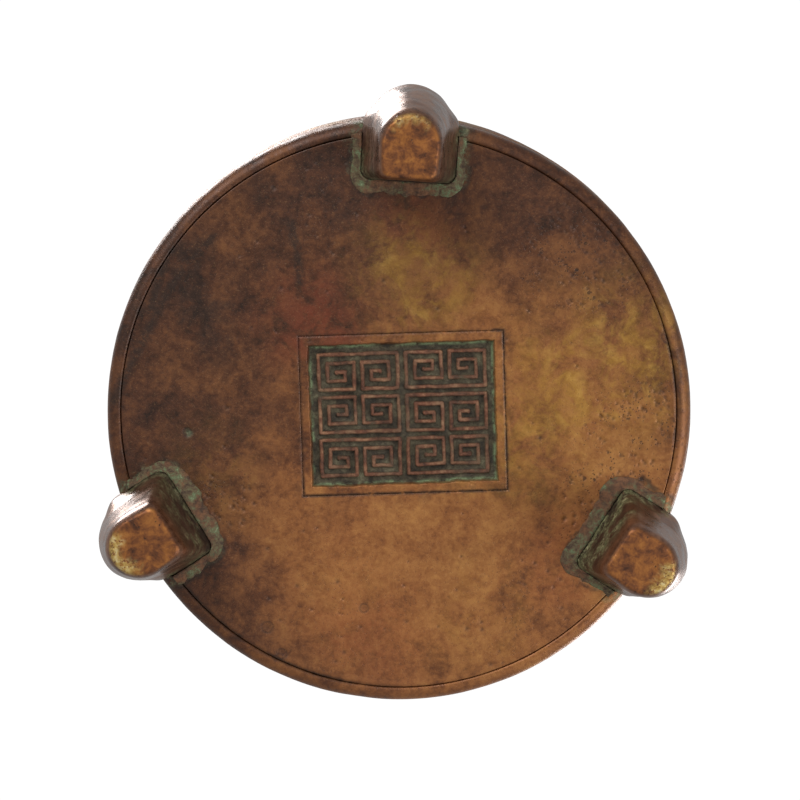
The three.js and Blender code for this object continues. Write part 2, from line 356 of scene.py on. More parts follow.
def foot_material():
    t = Tree("bronze_foot")
    med = t.noise(210, 5, 0.6, 0.4)
    fine = t.noise(900, 5, 0.7)
    scr = t.noise(2600, 3, 0.7)
    f = t.math("ADD", t.math("MULTIPLY", med, 0.6), t.math("MULTIPLY", fine, 0.4))
    col = t.ramp(f, [(0.34, srgb("#3c261b")), (0.48, srgb("#6d4833")), (0.60, srgb("#8a6148")), (0.72, srgb("#a27a5a"))])
    padn = t.noise(330, 6, 0.7, 0.4)
    padc = t.ramp(padn, [(0.33, srgb("#4a2a18")), (0.46, srgb("#7e4a26")), (0.58, srgb("#a4662f")), (0.70, srgb("#b97c3c"))])
    col = t.mix(attr(t, "pad"), col, padc)
    gn = t.noise(1100, 5, 0.75)
    gold = t.math("MULTIPLY", attr(t, "gold"), t.span(gn, 0.40, 0.50))
    goldc = t.ramp(t.noise(700, 4, 0.7), [(0.36, srgb("#a57a35")), (0.52, srgb("#d6b467")), (0.66, srgb("#ecd9a0"))])
    col = t.mix(gold, col, goldc)
    pit = t.math("MULTIPLY", attr(t, "gold"), t.span(gn, 0.36, 0.44, 1, 0))
    pit = t.math("MAXIMUM", pit, t.math("MULTIPLY", t.span(t.voronoi(900), 0.14, 0.26, 1, 0), t.span(t.noise(260, 3, 0.6), 0.52, 0.64)))
    col = t.mix(t.math("MULTIPLY", pit, 0.75), col, srgb("#23150c"))
    # painted shade on the leg's inner face and under the base
    col = t.mix(t.math("MULTIPLY", attr(t, "dark"), t.span(t.noise(400, 5, 0.7), 0.25, 0.5)), col, srgb("#38251a"))
    vn = t.noise(560, 6, 0.78, 0.3)
    vg = t.math("MULTIPLY", attr(t, "green"), t.span(vn, 0.38, 0.56))
    vcol = t.ramp(t.noise(820, 4, 0.7), [(0.34, srgb("#4d4f33")), (0.5, srgb("#84845c")), (0.66, srgb("#bdb98c"))])
    col = t.mix(vg, col, vcol)
    t.link(col, t.bsdf.inputs["Base Color"])
    rg = t.span(f, 0.36, 0.66, 0.24, 0.40)
    rg = t.math("ADD", rg, t.math("MULTIPLY", t.math("MAXIMUM", t.math("MULTIPLY", attr(t, "pad"), 0.5), t.math("MAXIMUM", vg, attr(t, "dark"))), 0.4))
    t.link(t.math("MINIMUM", rg, 1.0), t.bsdf.inputs["Roughness"])
    t.bsdf.inputs["Metallic"].default_value = 0.6
    h = t.math("ADD", t.math("MULTIPLY", fine, 0.35), t.math("MULTIPLY", scr, 0.2))
    h = t.math("ADD", h, t.math("MULTIPLY", t.math("MULTIPLY", vn, attr(t, "green")), 2.2))
    h = t.math("SUBTRACT", h, t.math("MULTIPLY", pit, 1.0))
    t.bump(h, 0.35, 0.0002)
    return t.mat


MAT_FOOT = foot_material()


def solder_material():
    t = Tree("solder_green")
    n = t.noise(480, 7, 0.78, 0.4)
    col = t.ramp(n, [(0.30, srgb("#1d1710")), (0.42, srgb("#4e3a25")), (0.50, srgb("#6b5a3c")), (0.58, srgb("#65744f")), (0.70, srgb("#a9b48c"))])
    b = t.noise(150, 4, 0.6)
    col = t.mix(t.span(b, 0.46, 0.60), col, t.ramp(t.noise(700, 5, 0.7), [(0.35, srgb("#432a19")), (0.6, srgb("#7d5232"))]))
    t.link(col, t.bsdf.inputs["Base Color"])
    t.bsdf.inputs["Roughness"].default_value = 0.78
    t.bsdf.inputs["Metallic"].default_value = 0.15
    t.bump(t.math("ADD", n, t.math("MULTIPLY", t.noise(1800, 4, 0.7), 0.5)), 0.8, 0.0004)
    return t.mat


MAT_SOLDER = solder_material()


# ---------------------------------------------------------------- the feet's outline
def interp_rows(z):
    out = []
    zs = ROWS[:, 0]
    i = int(np.clip(np.searchsorted(zs, z) - 1, 0, len(zs) - 2))
    h = zs[i + 1] - zs[i]
    t = (z - zs[i]) / h
    for k in range(1, 6):
        v = ROWS[:, k]
        m = np.gradient(v, zs)
        out.append(float((2 * t ** 3 - 3 * t ** 2 + 1) * v[i] + (t ** 3 - 2 * t ** 2 + t) * h * m[i]
                         + (-2 * t ** 3 + 3 * t ** 2) * v[i + 1] + (t ** 3 - t ** 2) * h * m[i + 1]))
    return out


def outline(z, inner, outer, w0, w1, m, n=168, grow=0.0):
    a, b, wo, wi = inner - grow, outer + grow, w0 + grow, w1 + grow
    c = 2.1 + grow
    flare = 1.2 * min(1.0, max(0.0, (z - 15) / 6))
    pts = []
    t = np.linspace(math.pi, 1.5 * math.pi, 18)
    pts += list(zip(a + c + c * np.cos(t), -wi + c + c * np.sin(t)))
    t = np.linspace(-math.pi / 2, math.pi / 2, 120)
    u = m + (b - m) * np.cos(t)
    k = np.clip((68.5 - u) / 4, 0, 1)
    k = k * k * (3 - 2 * k)
    pts += list(zip(u, wo * np.sin(t) + np.sign(np.sin(t)) * flare * k))
    t = np.linspace(math.pi / 2, math.pi, 18)
    pts += list(zip(a + c + c * np.cos(t), wi - c + c * np.sin(t)))
    pts = np.array(pts)
    for _ in range(2):                      # take the corners off the joins
        pts = (np.roll(pts, 1, 0) + 2 * pts + np.roll(pts, -1, 0)) / 4
    full = np.vstack([pts, pts[:1]])
    acc = np.concatenate([[0], np.cumsum(np.hypot(*(full[1:] - full[:-1]).T))])
    uu = np.linspace(0, acc[-1], n, endpoint=False)
    q = np.column_stack([np.interp(uu, acc, full[:, 0]), np.interp(uu, acc, full[:, 1])])
    for _ in range(2):
        q = (np.roll(q, 1, 0) + 2 * q + np.roll(q, -1, 0)) / 4
    return q


def foot_ring(f, z, grow=0.0, n=168):
    inner, outer, w0, w1, m = interp_rows(z)
    k = max(0.0, 1 - z / Z_BASE)
    reach = outer + (f["knee"] - 73.3) * min(1.0, max(0.0, z / 19))
    tw = math.radians(f["twist"])
    mid = (inner + reach) / 2
    o = outline(z, inner, reach, w0 * f["size"], w1 * f["size"], m, n, grow)
    du, vv = o[:, 0] - mid, o[:, 1]
    uu = mid + du * math.cos(tw) - vv * math.sin(tw) + f["pad"][0] * k
    v2 = du * math.sin(tw) + vv * math.cos(tw) + f["pad"][1] * k
    ca, sa = math.cos(math.radians(f["angle"])), math.sin(math.radians(f["angle"]))
    return np.column_stack([uu * ca - v2 * sa, uu * sa + v2 * ca, np.full(n, z)])


def away(P, poly):
    """distance from points to a closed outline, below 0 inside"""
    x, y = P[:, 0], P[:, 1]
    best = np.full(len(P), 1e9)
    inside = np.zeros(len(P), bool)
    n = len(poly)
    for i in range(n):
        ax, ay = poly[i, 0], poly[i, 1]
        bx, by = poly[(i + 1) % n, 0], poly[(i + 1) % n, 1]
        dx, dy = bx - ax, by - ay
        t = np.clip(((x - ax) * dx + (y - ay) * dy) / (dx * dx + dy * dy + 1e-12), 0, 1)
        best = np.minimum(best, np.hypot(x - ax - dx * t, y - ay - dy * t))
        cross = ((ay > y) != (by > y)) & (x < (bx - ax) * (y - ay) / (by - ay + 1e-12) + ax)
        inside ^= cross
    return np.where(inside, -best, best)


ROOTS = {nm: foot_ring(f, 21.9, 0.0, 72) for nm, f in FEET.items()}


def near_line(P, pts):
    best = np.full(len(P), 1e9)
    for (ax, ay), (bx, by) in zip(pts[:-1], pts[1:]):
        dx, dy = bx - ax, by - ay
        t = np.clip(((P[:, 0] - ax) * dx + (P[:, 1] - ay) * dy) / (dx * dx + dy * dy), 0, 1)
        best = np.minimum(best, np.hypot(P[:, 0] - ax - dx * t, P[:, 1] - ay - dy * t))
    return best


def blob(P, x, y, r):
    d = np.hypot(P[:, 0] - x, P[:, 1] - y)
    return 1 - sstep(0.15 * r, r, d)


def tile_frame(P):
    c, s = math.cos(math.radians(-TILE["turn"])), math.sin(math.radians(-TILE["turn"]))
    x, y = P[:, 0] - TILE["x"], P[:, 1] - TILE["y"]
    return x * c - y * s, x * s + y * c


STAINS = [[(-41, -39), (-46.5, -33), (-52.4, -24.6), (-55.7, -17.9), (-60.2, -9), (-63.6, -2.2)],
          [(-50, -36), (-53, -30), (-55, -22)], [(-24, -42), (-22.5, -36), (-22, -29)]]
FAINT = [[(61.5, -22), (62.4, -8), (62.0, 3)], [(-46, 41), (-36, 50.5), (-27.5, 55.5)]]


def masks(P):
    """the broad regions of the patina at points P, in mm from the bowl's axis; the tone also holds a painted pool of
    light
    """
    q = np.column_stack([P[:, 0], P[:, 1], P[:, 2] * 0.6])
    n1, n2 = fbm(q, 0.045, 4, 31), fbm(q, 0.16, 4, 41)
    w = P[:, :2] + np.column_stack([n1, fbm(q, 0.05, 3, 51)]) * 9
    W = np.column_stack([w, P[:, 2]])
    # painted pool of light: the tone is brightest round (22, 24) mm and darker further out, plus random mottling
    d = np.hypot(w[:, 0] - 22, w[:, 1] - 24)
    tone_and_painted_light = 1 - 0.78 * sstep(26, 84, d) + 0.16 * n2
    gold = np.clip(0.95 * blob(W, 7, -31, 21) + 0.95 * blob(W, 47, -13, 27) + 0.55 * blob(W, 28, 8, 24) + 0.3 * blob(W, -44, 14, 18) + 0.25 * blob(W, 20, 45, 20), 0, 1)
    gold = gold * (1 - 0.55 * sstep(0.0, 0.5, fbm(q, 0.22, 4, 61)))
    red = np.clip(0.95 * blob(W, -20, -21, 17) + 0.5 * blob(W, 6, -46, 15) + 0.35 * blob(W, -8, 44, 22) + 0.3 * blob(W, 40, 32, 16), 0, 1)
    jit = fbm(q, 0.5, 4, 71)
    stain = np.zeros(len(P))
    for ln in STAINS:
        stain = np.maximum(stain, (1 - sstep(0.3, 1.9 + 1.2 * jit, near_line(P, ln) + 0.7 * np.abs(jit))) * 0.9)
    stain = np.maximum(stain, 0.75 * sstep(0.12, 0.5, fbm(q, 0.13, 5, 81)) * blob(P, -50, -26, 30))
    stain = np.maximum(stain, 0.55 * sstep(0.15, 0.5, fbm(q, 0.16, 5, 82)) * blob(P, -25, -40, 20))
    for ln in FAINT:
        stain = np.maximum(stain, (1 - sstep(0.15, 0.7, near_line(P, ln) + 0.4 * np.abs(jit))) * 0.7)
    # along the seams
    rr = np.hypot(P[:, 0], P[:, 1])
    ang = np.degrees(np.arctan2(P[:, 1], P[:, 0]))
    run = 0.15 + 0.85 * np.clip(sstep(85, 100, ang) * (1 - sstep(140, 146, ang)) + sstep(-22, -16, ang) * (1 - sstep(4, 14, ang)), 0, 1)
    seam = (1 - sstep(0.1, 0.75, np.abs(rr - R_REBATE + 0.05) + 0.25 * np.abs(jit)))
    stain = np.maximum(stain, seam * run * (0.55 + 0.45 * sstep(-0.3, 0.2, jit)))
    tx, ty = tile_frame(P)
    td = np.maximum(np.abs(tx) - TILE["w"] / 2, np.abs(ty) - TILE["d"] / 2)
    side = 0.45 + 0.55 * np.clip(sstep(12, 17, ty) + sstep(18, 22, tx) + 0.25, 0, 1)
    stain = np.maximum(stain, (1 - sstep(0.1, 0.75, np.abs(td) + 0.3 * np.abs(jit))) * side)
    stain = np.maximum(stain, 0.4 * (1 - sstep(0, 3.2, np.abs(td))) * sstep(0.0, 0.35, fbm(q, 0.35, 4, 83)) * side)
    clump = np.clip(0.95 * blob(W, 42, -36, 20) + 0.95 * blob(W, 54, 6, 20) + 0.6 * blob(W, 44, 20, 16) + 0.55 * blob(W, -42, 20, 15)
                    + 0.3 * blob(W, 30, 44, 22) + 0.22 * blob(W, -10, 46, 26) + 0.3 * blob(W, -12, -48, 18), 0, 1)
    clump = clump * sstep(-0.28, 0.22, fbm(q, 0.3, 4, 91)) + 0.05
    green = np.zeros(len(P))
    dist_root = np.full(len(P), 1e9)
    for nm, root in ROOTS.items():
        sel = np.hypot(P[:, 0] - root[:, 0].mean(), P[:, 1] - root[:, 1].mean()) < 24
        if not sel.any():
            continue
        dd = np.full(len(P), 1e9)
        dd[sel] = away(P[sel], root)
        dist_root = np.minimum(dist_root, dd)
    jit2 = fbm(q, 0.4, 5, 101)
    green = (1 - sstep(0.5, 3.6 + 2.2 * jit2, dist_root)) * (0.75 + 0.5 * jit2)
    stain = np.maximum(stain, (1 - sstep(0.3, 1.0, np.abs(dist_root - 3.0 - 1.5 * jit2))) * 0.85 * sstep(-0.25, 0.15, fbm(q, 0.25, 3, 111)))
    green = np.maximum(green, 0.5 * blob(P, -46.8, 4.6, 1.6))
    return dict(tone_and_painted_light=np.clip(tone_and_painted_light, 0, 1), gold=gold, red=red, stain=np.clip(stain, 0, 1), clump=np.clip(clump, 0, 1), green=np.clip(green, 0, 1))


# ---------------------------------------------------------------- the wall
def wall():
    B = R_BODY
    prof = np.array([
        [R_REBATE, 22.0], [B - 2.6, 22.0], [B - 1.2, 22.5], [B - 0.3, 23.5], [B, 25.0],
        [B - 0.2, 33], [B - 0.4, 39.8], [B + 0.1, 40.3], [B + 0.3, 40.9], [B + 0.3, 42.0], [B + 0.1, 42.6], [B - 0.5, 43.2],
        [B - 0.8, 56], [B - 0.9, 69.8], [B - 0.4, 70.3], [B - 0.2, 70.9], [B - 0.2, 72.0], [B - 0.4, 72.6], [B - 0.9, 73.2],
        [B - 0.9, 79.6], [B - 0.4, 81], [B + 0.1, 81.9], [B + 0.5, 84.2], [B + 0.1, 86.8], [B - 1.2, 88.0],
        [R_BORE + 1.2, 88.0], [R_BORE + 0.2, 86.6], [R_BORE, 84], [R_BORE, 70], [R_BORE, 50], [R_BORE, 26.3], [R_REBATE, 26.3]])
    pts = []
    n = len(prof)
    for i in range(n):
        a, b = prof[i], prof[(i + 1) % n]
        k = max(1, int(round(np.hypot(*(b - a)) / 0.7)))
        for q in range(k):
            pts.append(a + (b - a) * q / k)
    pts = np.array(pts)
    for _ in range(2):
        pts = (np.roll(pts, 1, 0) + 2 * pts + np.roll(pts, -1, 0)) / 4
    segs = 480
    a = np.linspace(0, 2 * math.pi, segs, endpoint=False)
    r = pts[:, 0][:, None] * np.ones(segs)
    z = pts[:, 1][:, None] * np.ones(segs)
    v = np.stack([r * np.cos(a), r * np.sin(a), z], -1).reshape(-1, 3)
    base = v.copy()
    d = np.minimum(0.14 * fbm(v, 0.11, 4, 3) - 0.04, 0.0)
    rr = np.hypot(v[:, 0], v[:, 1])
    v[:, :2] *= ((rr + d) / rr)[:, None]
    ob = make("wall_body", v, grid_faces(len(pts), segs, True, True), material=MAT_BODY)
    m = masks(base)
    up = sstep(22.6, 27, base[:, 2])                   # the wall's side has its own broad mottling
    q = base * [1, 1, 0.6]
    m["tone_and_painted_light"] = m["tone_and_painted_light"] * (1 - up) + up * np.clip(0.62 + 0.55 * fbm(q, 0.05, 4, 131), 0, 1)
    m["gold"] = m["gold"] * (1 - up) + up * np.clip(0.9 * sstep(0.05, 0.45, fbm(q, 0.06, 4, 132)), 0, 1)
    m["red"] = m["red"] * (1 - up) + up * 0.7 * sstep(0.1, 0.5, fbm(q, 0.05, 3, 133))
    m["clump"] = m["clump"] * (1 - up) + up * sstep(0.1, 0.45, fbm(q, 0.09, 4, 134))
    m["stain"] = m["stain"] * (1 - up) + up * 0.6 * sstep(0.18, 0.5, fbm(base * [1, 1, 0.35], 0.12, 5, 135))
    m["green"] = m["green"] * (1 - up) + up * 0.35 * sstep(0.25, 0.55, fbm(q, 0.12, 5, 136))
    inner = (rr < R_BORE + 0.8) & (base[:, 2] < 86)
    # painted shade inside the bowl: the bore's tone is darkened, and it keeps little gold
    m["tone_and_painted_light"] = np.where(inner, m["tone_and_painted_light"] * 0.35, m["tone_and_painted_light"])
    m["gold"] = np.where(inner, 0.05 * m["gold"], m["gold"])
    # a line of verdigris under each raised line and the rim
    for zl in (39.8, 43.4, 69.7, 73.4, 80.4):
        m["green"] = np.maximum(m["green"], (1 - sstep(0.2, 1.1, np.abs(base[:, 2] - zl))) * 0.45 * sstep(-0.1, 0.3, fbm(q, 0.2, 4, 137)) * (~inner))
    put(ob, **m)
    return ob


# ---------------------------------------------------------------- the base disc
rng = np.random.default_rng(7)


def pit_list():
    out = [(-29.3, 48.2, 1.3, 0.26), (-26.2, 54.2, 1.2, 0.24), (-7.8, 43.9, 1.0, 0.2), (59.6, -16.8, 1.5, 0.3), (-47.0, 4.5, 0.9, 0.3)]
    for x, y, r, n in ((42, -36, 13, 70), (54, 4, 11, 55), (44, 20, 9, 30), (-41, 19, 9, 30), (30, 44, 16, 18), (-12, 44, 22, 18), (-14, -46, 14, 12), (0, 0, 58, 40)):
        for _ in range(n):
            a, d = rng.uniform(0, 2 * math.pi), r * math.sqrt(rng.uniform())
            out.append((x + d * math.cos(a), y + d * math.sin(a), rng.uniform(0.28, 0.62), rng.uniform(0.10, 0.26)))
    return out


PITS = pit_list()


def underside(P):
    """how far the hammered, pitted underside lies above its lowest plane, and its pits"""
    q = np.column_stack([P[:, 0], P[:, 1], np.zeros(len(P))])
    z = 0.16 + 0.11 * fbm(q, 0.06, 3, 11) + 0.05 * fbm(q, 0.35, 4, 12) + 0.03 * fbm(q, 1.4, 3, 14)
    pit = np.zeros(len(P))
    for x, y, r, h in PITS:
        sel = (np.abs(P[:, 0] - x) < 3.2 * r) & (np.abs(P[:, 1] - y) < 3.2 * r)
        if sel.any():
            dd = np.hypot(P[sel, 0] - x, P[sel, 1] - y)
            z[sel] += h * np.exp(-(dd / r) ** 2)
            pit[sel] = np.maximum(pit[sel], np.exp(-(dd / (0.75 * r)) ** 2) * (0.75 if r < 0.7 else 0.35))
            if r > 0.7:
                pit[sel] = np.maximum(pit[sel], 0.7 * np.exp(-((dd - 0.95 * r) / 0.22) ** 2))
    return z, pit


def base():
    N, M = 900, 170
    a = np.linspace(0, 2 * math.pi, N, endpoint=False)
    tx, ty = TILE["x"], TILE["y"]
    inner = rect_edge(a, TILE["w"] + 0.10, TILE["d"] + 0.10, TILE["turn"])
    ix, iy = tx + inner * np.cos(a), ty + inner * np.sin(a)
    R = R_REBATE - 0.05
    b = tx * np.cos(a) + ty * np.sin(a)
    out = -b + np.sqrt(b * b - (tx * tx + ty * ty - R * R))
    ox, oy = tx + out * np.cos(a), ty + out * np.sin(a)
    s = np.linspace(0, 1, M)[:, None]
    P = np.stack([ix + (ox - ix) * s, iy + (oy - iy) * s], -1).reshape(-1, 2)
    rr = np.hypot(P[:, 0], P[:, 1])
    ang = np.degrees(np.arctan2(P[:, 1], P[:, 0]))
    q = np.column_stack([P, np.zeros(len(P))])
    run = 0.15 + 0.85 * np.clip(sstep(85, 100, ang) * (1 - sstep(140, 146, ang)) + sstep(-22, -16, ang) * (1 - sstep(4, 14, ang)), 0, 1)
    inn = np.hypot(P[:, 0] - np.tile(ix, M), P[:, 1] - np.tile(iy, M))
    edge = sstep(R - 0.7, R, rr) * 0.22 * run + (1 - sstep(0, 0.6, inn)) * 0.18 * (0.6 + 0.8 * fbm(q, 0.3, 2, 17))
    flat = sstep(0.0, 2.0, R - rr)                      # level with the wall's edge at the seam
    u, pit = underside(P)
    z = Z_BASE + np.maximum(u * flat + 0.02, 0.0) + edge
    low = np.column_stack([P, z])
    rings = [np.column_stack([ix + (ox - ix) * k, iy + (oy - iy) * k, np.full(N, Z_BASE + T_BASE)]) for k in (1, 0.75, 0.5, 0.25, 0)]
    v = np.vstack([low] + rings)
    ob = make("base_disc", v, grid_faces(M + 5, N, True, True), material=MAT_BODY)
    m = masks(v)
    up = v[:, 2] > Z_BASE + 2
    # painted shade on the bowl's inner floor: dark tone, no gold
    m["tone_and_painted_light"] = np.where(up, 0.15, m["tone_and_painted_light"])
    m["gold"] = np.where(up, 0, m["gold"])
    put(ob, pit=np.concatenate([pit, np.zeros(5 * N)]), **m)
    return ob


def rect_edge(theta, w, d, turn):
    t = theta - math.radians(turn)
    c, s = np.abs(np.cos(t)), np.abs(np.sin(t))
    return np.minimum(w / 2 / np.maximum(c, 1e-6), d / 2 / np.maximum(s, 1e-6))


# ---------------------------------------------------------------- the inset tile with its key-fret relief
def fret_lines():
    """pairs of square spirals, joined at the outer end, as on old bronzes"""
    lines = []
    cw, ch = (TILE["pw"] - 2.6) / 4, (TILE["pd"] - 2.6) / 3
    s = min(cw, ch) - 1.75
    h, p = s / 2, s / 4
    path = [(h, -h), (-h, -h), (-h, h), (h, h), (h, -h + p), (-h + p, -h + p), (-h + p, h - p), (h - p, h - p), (h - p, -h + 2 * p), (-h + 2 * p, -h + 2 * p), (-h + 2 * p, 0.15)]
    for j in range(3):
        for i in range(2):
            xm = (i - 0.5) * 2 * cw
            y0 = (j - 1) * ch
            fy = 1 if (i + j) % 2 == 0 else -1
            left = [(xm - cw / 2 + x, y0 + fy * y) for x, y in path]
            right = [(xm + cw / 2 - x, y0 + fy * y) for x, y in path]
            lines.append(left[::-1] + right)
    return lines


def tile():
    w, d = TILE["w"] - 0.02, TILE["d"] - 0.02
    NX, NY = 430, 338
    X, Y = np.meshgrid(np.linspace(-w / 2, w / 2, NX), np.linspace(-d / 2, d / 2, NY))
    P = np.column_stack([X.ravel(), Y.ravel()])
    q = np.column_stack([P, np.zeros(len(P))])
    jx, jy = 0.16 * fbm(q, 0.35, 3, 201), 0.16 * fbm(q, 0.35, 3, 202)
    PP = P + np.column_stack([jx, jy])
    dist = np.full(len(P), 99.0)
    for ln in fret_lines():
        dist = np.minimum(dist, near_line(PP, ln))
    wob = 0.35 * fbm(q, 0.16, 3, 5) + 0.12 * fbm(q, 0.8, 3, 9)
    inside = np.minimum((TILE["pw"] / 2 + wob) - np.abs(P[:, 0]), (TILE["pd"] / 2 + wob) - np.abs(P[:, 1]))
    pocket = sstep(-0.28, 0.42, inside)
    wv = 0.40 + 0.10 * fbm(q, 0.5, 3, 8)
    tall = np.clip(0.72 + 0.5 * fbm(q, 0.22, 3, 18), 0.35, 1.0)
    stroke = 1 - sstep(wv - 0.22, wv + 0.30, dist)
    relief = stroke * tall * sstep(0.15, 0.8, inside)
    rough = 0.10 * fbm(q, 0.7, 4, 6) + 0.06 * fbm(q, 2.6, 3, 7)
    edge = np.minimum(w / 2 - np.abs(P[:, 0]), d / 2 - np.abs(P[:, 1]))
    c, s = math.cos(math.radians(TILE["turn"])), math.sin(math.radians(TILE["turn"]))
    WX = TILE["x"] + P[:, 0] * c - P[:, 1] * s
    WY = TILE["y"] + P[:, 0] * s + P[:, 1] * c
    world = np.column_stack([WX, WY])
    u, _ = underside(world)
    ripple = 0.12 * (1 - sstep(0.0, 1.1, np.abs(inside + 0.55))) * (0.5 + fbm(q, 0.4, 3, 21))
    z = Z_BASE + np.maximum(u * (1 - pocket) + pocket * (TILE["h"] + rough) - relief * TILE["h"] * 0.66 - ripple * (1 - pocket)
                            + (1 - sstep(0, 0.5, edge)) * 0.18, 0.0)
    low = np.column_stack([world, z])
    faces = grid_faces(NY, NX, False, False)
    ring = list(range(NX)) + [r * NX + NX - 1 for r in range(1, NY)] + [(NY - 1) * NX + i for i in range(NX - 2, -1, -1)] + [r * NX for r in range(NY - 2, 0, -1)]
    top = low[ring].copy()
    top[:, 2] = Z_BASE + T_BASE
    b0, n = len(low), len(ring)
    mid = b0 + n
    for k in range(n):
        k2 = (k + 1) % n
        faces.append((ring[k], ring[k2], b0 + k2, b0 + k))
        faces.append((b0 + k, b0 + k2, mid))
    v = np.vstack([low, top, [[TILE["x"], TILE["y"], Z_BASE + T_BASE]]])
    ob = make("inset_tile", v, faces, material=MAT_BODY)
    pad = np.zeros(n + 1)
    m = masks(v)
    # painted shade on the tile's top, the bowl's inner floor
    m["tone_and_painted_light"][b0:] = 0.15
    lip = (1 - sstep(0.15, 0.9, np.abs(inside - 0.12))) * sstep(-0.35, 0.1, fbm(q, 0.3, 3, 23))
    put(ob, field=np.concatenate([pocket, pad]), raised=np.concatenate([np.clip(relief * 1.1, 0, 1) * sstep(0.25, 0.6, stroke), pad]),
        lip=np.concatenate([lip, pad]), **m)
    return ob


# ---------------------------------------------------------------- the feet
def lathe_cap(x, y, prof, segs=40):
    a = np.linspace(0, 2 * math.pi, segs, endpoint=False)
    rows = [np.column_stack([x + r * np.cos(a), y + r * np.sin(a), np.full(segs, z)]) for r, z in prof]
    return np.vstack(rows), len(prof)


WORN = {"foot_front": (-90, 38, 1.5, 0.55), "foot_left": (152, 52, 2.1, 1.0), "foot_right": (42, 40, 2.0, 1.0)}
MOSS = {"foot_front": 0.5, "foot_left": 0.55, "foot_right": 1.0}


def foot(name, seed):
    f = FEET[name]
    n = 240
    rings, prm = [], []
    start = [(0.0, 0.12), (0.0, 0.3), (0.0, 0.5), (0.0, 0.7), (0.0, 0.85), (0.0, 0.94), (0.06, 0.975), (0.22, 0.99), (0.5, 0.998), (0.85, 1.0)]
    zs = np.concatenate([np.linspace(1.25, 22.6, 96), np.linspace(22.62, 38.3, 60)])
    for z, k in start + [(float(z), 1.0) for z in zs]:
        r = foot_ring(f, z, 0.0, n)
        c = r.mean(0)
        if k < 1:
            r[:, :2] = c[:2] + (r[:, :2] - c[:2]) * k
        # cast fillet where the foot meets the base
        t = np.clip((z - 18.6) / 3.4, 0, 1)
        g = 1.25 * (1 - math.sqrt(max(0.0, 1 - float(t) ** 2))) if z <= 22.61 else 0.0
        if g > 0:
            rad = np.hypot(r[:, 0], r[:, 1])
            w = g * (1 - sstep(60.0, 64.2, rad))
            d = r[:, :2] - c[:2]
            r[:, :2] += d / np.hypot(d[:, 0], d[:, 1])[:, None] * w[:, None]
        if z > 22.61:
            rr = np.hypot(r[:, 0], r[:, 1])
            r[:, :2] *= (np.maximum(rr, 63.0) / rr)[:, None]
        rings.append(r)
    nr = len(rings)
    v = np.vstack(rings)
    cen = np.repeat(np.array([r.mean(0) for r in rings]), n, axis=0)
    dz = sstep(0.6, 3, v[:, 2])
    dsp = (0.22 * fbm(v, 0.14, 3, seed) + 0.05 * fbm(v, 0.6, 3, seed + 5)) * dz - 0.12 * dz
    inner = 1 - sstep(52.5, 58.5, np.hypot(v[:, 0], v[:, 1]))
    moss = MOSS[name] * np.maximum(inner * sstep(3, 9, v[:, 2]), sstep(15.5, 20.5, v[:, 2]) * (1 - sstep(62, 65.5, np.hypot(v[:, 0], v[:, 1]))))
    moss = moss * (v[:, 2] < 22.7) * sstep(-0.35, 0.2, fbm(v, 0.25, 4, seed + 3))
    dsp = dsp + moss * 0.22 * fbm(v, 1.1, 4, seed + 7)
    d = (v - cen)
    d[:, 2] = 0
    v[:, :2] += d[:, :2] / np.maximum(np.hypot(d[:, 0], d[:, 1]), 1e-6)[:, None] * dsp[:, None]
    padmask = (v[:, 2] < 0.3)
    q = v * [1, 1, 0]
    v[padmask, 2] += 0.10 * sstep(0.1, 0.5, fbm(q[padmask], 0.7, 4, seed + 9))
    faces = grid_faces(nr, n, True, False)
    lastc = v[(nr - 1) * n:nr * n].mean(0)
    v = np.vstack([v, [v[:n].mean(0)], [lastc]])
    c0, c1 = nr * n, nr * n + 1
    for k in range(n):
        k2 = (k + 1) % n
        faces.append((k2, k, c0))
        faces.append(((nr - 1) * n + k, (nr - 1) * n + k2, c1))
    a = math.radians(f["angle"])
    tx, ty = 54.4 * math.cos(a), 54.4 * math.sin(a)
    cap, rows = lathe_cap(tx, ty, [(3.0, 22.6), (3.0, 26.2), (3.7, 26.25), (3.8, 26.5), (3.6, 26.9), (2.9, 27.25), (1.6, 27.5), (0.5, 27.58)])
    b0 = len(v)
    faces += grid_faces(rows, 40, True, False, b0)
    v = np.vstack([v, cap, [[tx, ty, 27.6], [tx, ty, 22.6]]])
    e0 = b0 + rows * 40
    for k in range(40):
        k2 = (k + 1) % 40
        faces.append((b0 + (rows - 1) * 40 + k, b0 + (rows - 1) * 40 + k2, e0))
        faces.append((b0 + k2, b0 + k, e0 + 1))
    ob = make(name + "_cast", v, faces, material=MAT_FOOT)
    # where it is worn or green, and painted shade on the leg's inner face and up under the base
    edge = foot_ring(f, 0.0, 0.0, 120)
    pc = edge.mean(0)
    de = -away(v, edge)
    worn_dir, half, wide, amt = WORN[name]
    an = np.degrees(np.arctan2(v[:, 1] - pc[1], v[:, 0] - pc[0]))
    off = np.abs((an - worn_dir + 180) % 360 - 180)
    low = 1 - sstep(0.25, 0.9, v[:, 2])
    jit = fbm(v * [1, 1, 0], 0.8, 4, seed + 13)
    gold = amt * low * (1 - sstep(half * 0.6, half * 1.25, off + 14 * jit)) * (1 - sstep(wide * 0.5, wide * 1.2, de + 0.9 * jit))
    pad = 1 - sstep(0.15, 0.75, v[:, 2])
    mossv = np.zeros(len(v))
    mossv[:len(moss)] = moss
    # painted shade: darker on the leg's inner face and near the root under the base
    dark = np.clip(inner_of(v) * sstep(2, 7, v[:, 2]) * 0.75 + sstep(17.5, 21.5, v[:, 2]) * (1 - sstep(61.5, 64.5, np.hypot(v[:, 0], v[:, 1]))) * 0.9, 0, 1)
    put(ob, gold=gold, pad=pad, green=mossv, dark=dark)
    return ob


def inner_of(v):
    return 1 - sstep(52.0, 57.5, np.hypot(v[:, 0], v[:, 1]))


